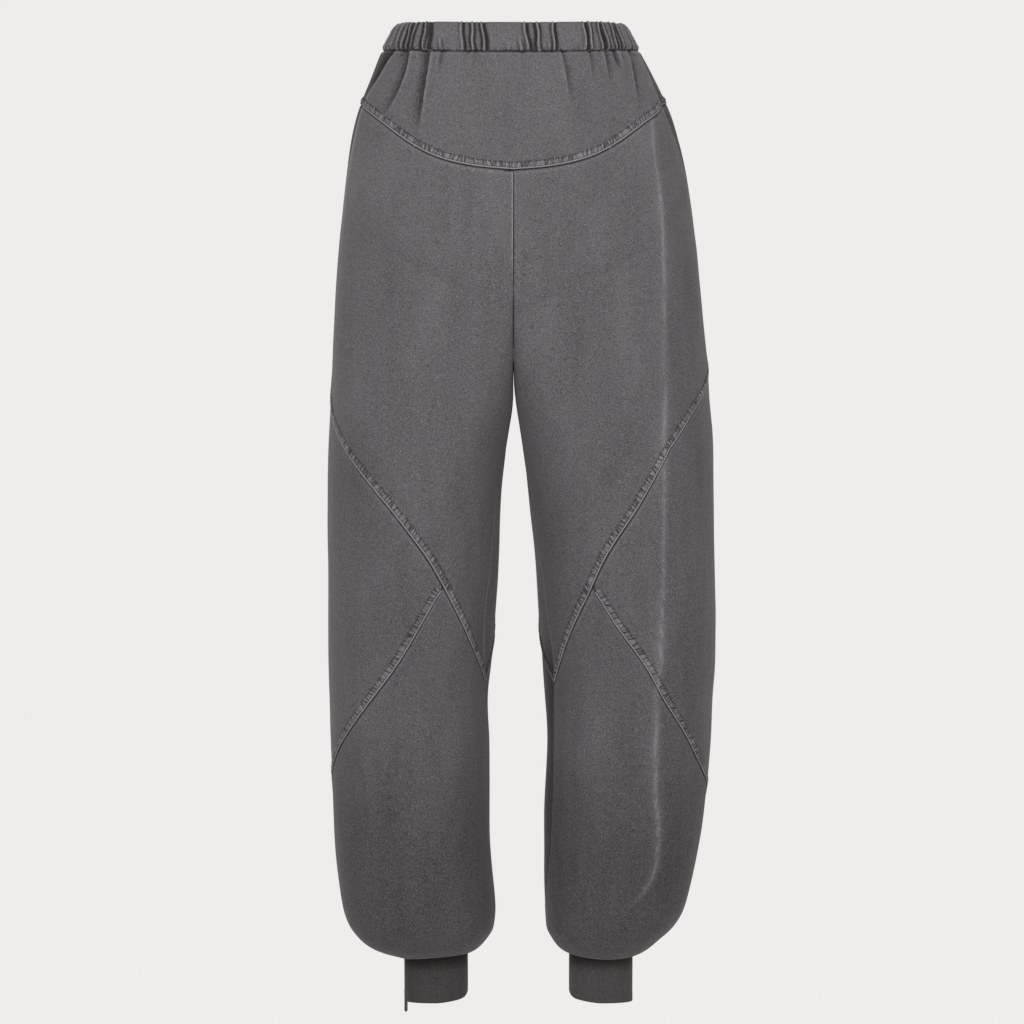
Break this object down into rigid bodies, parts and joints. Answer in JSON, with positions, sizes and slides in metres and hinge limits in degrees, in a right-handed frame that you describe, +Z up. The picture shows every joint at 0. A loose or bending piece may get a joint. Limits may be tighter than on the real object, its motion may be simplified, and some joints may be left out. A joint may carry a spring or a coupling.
{
  "type": "sweatpants",
  "caption": "Barrel-leg sweatpants, filled out and hollow, with a gathered waistband, a curved yoke, diagonal knee seams and zipped ankle cuffs.",
  "frame": {"origin": "middle of the waistband, where a waist holds the garment up", "axes": "+Z up, +X to the wearer's left, the garment faces -Y"},
  "size_m": [0.4027, 0.248, 1.0335],
  "materials": {
    "cloth": "washed charcoal fleece, matt",
    "cuff_knit": "close dark knit, matt",
    "zip_tape": "woven tape with a nylon coil",
    "zip_metal": "dark nickel, satin"
  },
  "bodies": {
    "garment": {"waistband": "cloth", "yoke_front": "cloth", "yoke_back": "cloth", "left_front_thigh": "cloth", "left_back_thigh": "cloth", "left_knee_side": "cloth", "left_front_shin": "cloth", "left_back_shin": "cloth", "right_front_thigh": "cloth", "right_back_thigh": "cloth", "right_knee_side": "cloth", "right_front_shin": "cloth", "right_back_shin": "cloth", "left_cuff": "cuff_knit", "left_zip": "zip_tape", "left_zip_slider": "zip_metal", "right_cuff": "cuff_knit", "right_zip": "zip_tape", "right_zip_slider": "zip_metal"},
    "left_pull": {"left_zip_pull": "zip_metal"},
    "right_pull": {"right_zip_pull": "zip_metal"}
  },
  "joints": [
    {"name": "left_pull_swing", "type": "hinge", "parent": "garment", "child": "left_pull", "pos_m": [0.11804, 0.02858, -0.9863], "axis": [0.681, -0.7323, 0], "range_deg": [0, 150]},
    {"name": "right_pull_swing", "type": "hinge", "parent": "garment", "child": "right_pull", "pos_m": [-0.11227, 0.02227, -0.9973], "axis": [0.479, 0.8778, 0], "range_deg": [0, 150]}
  ]
}
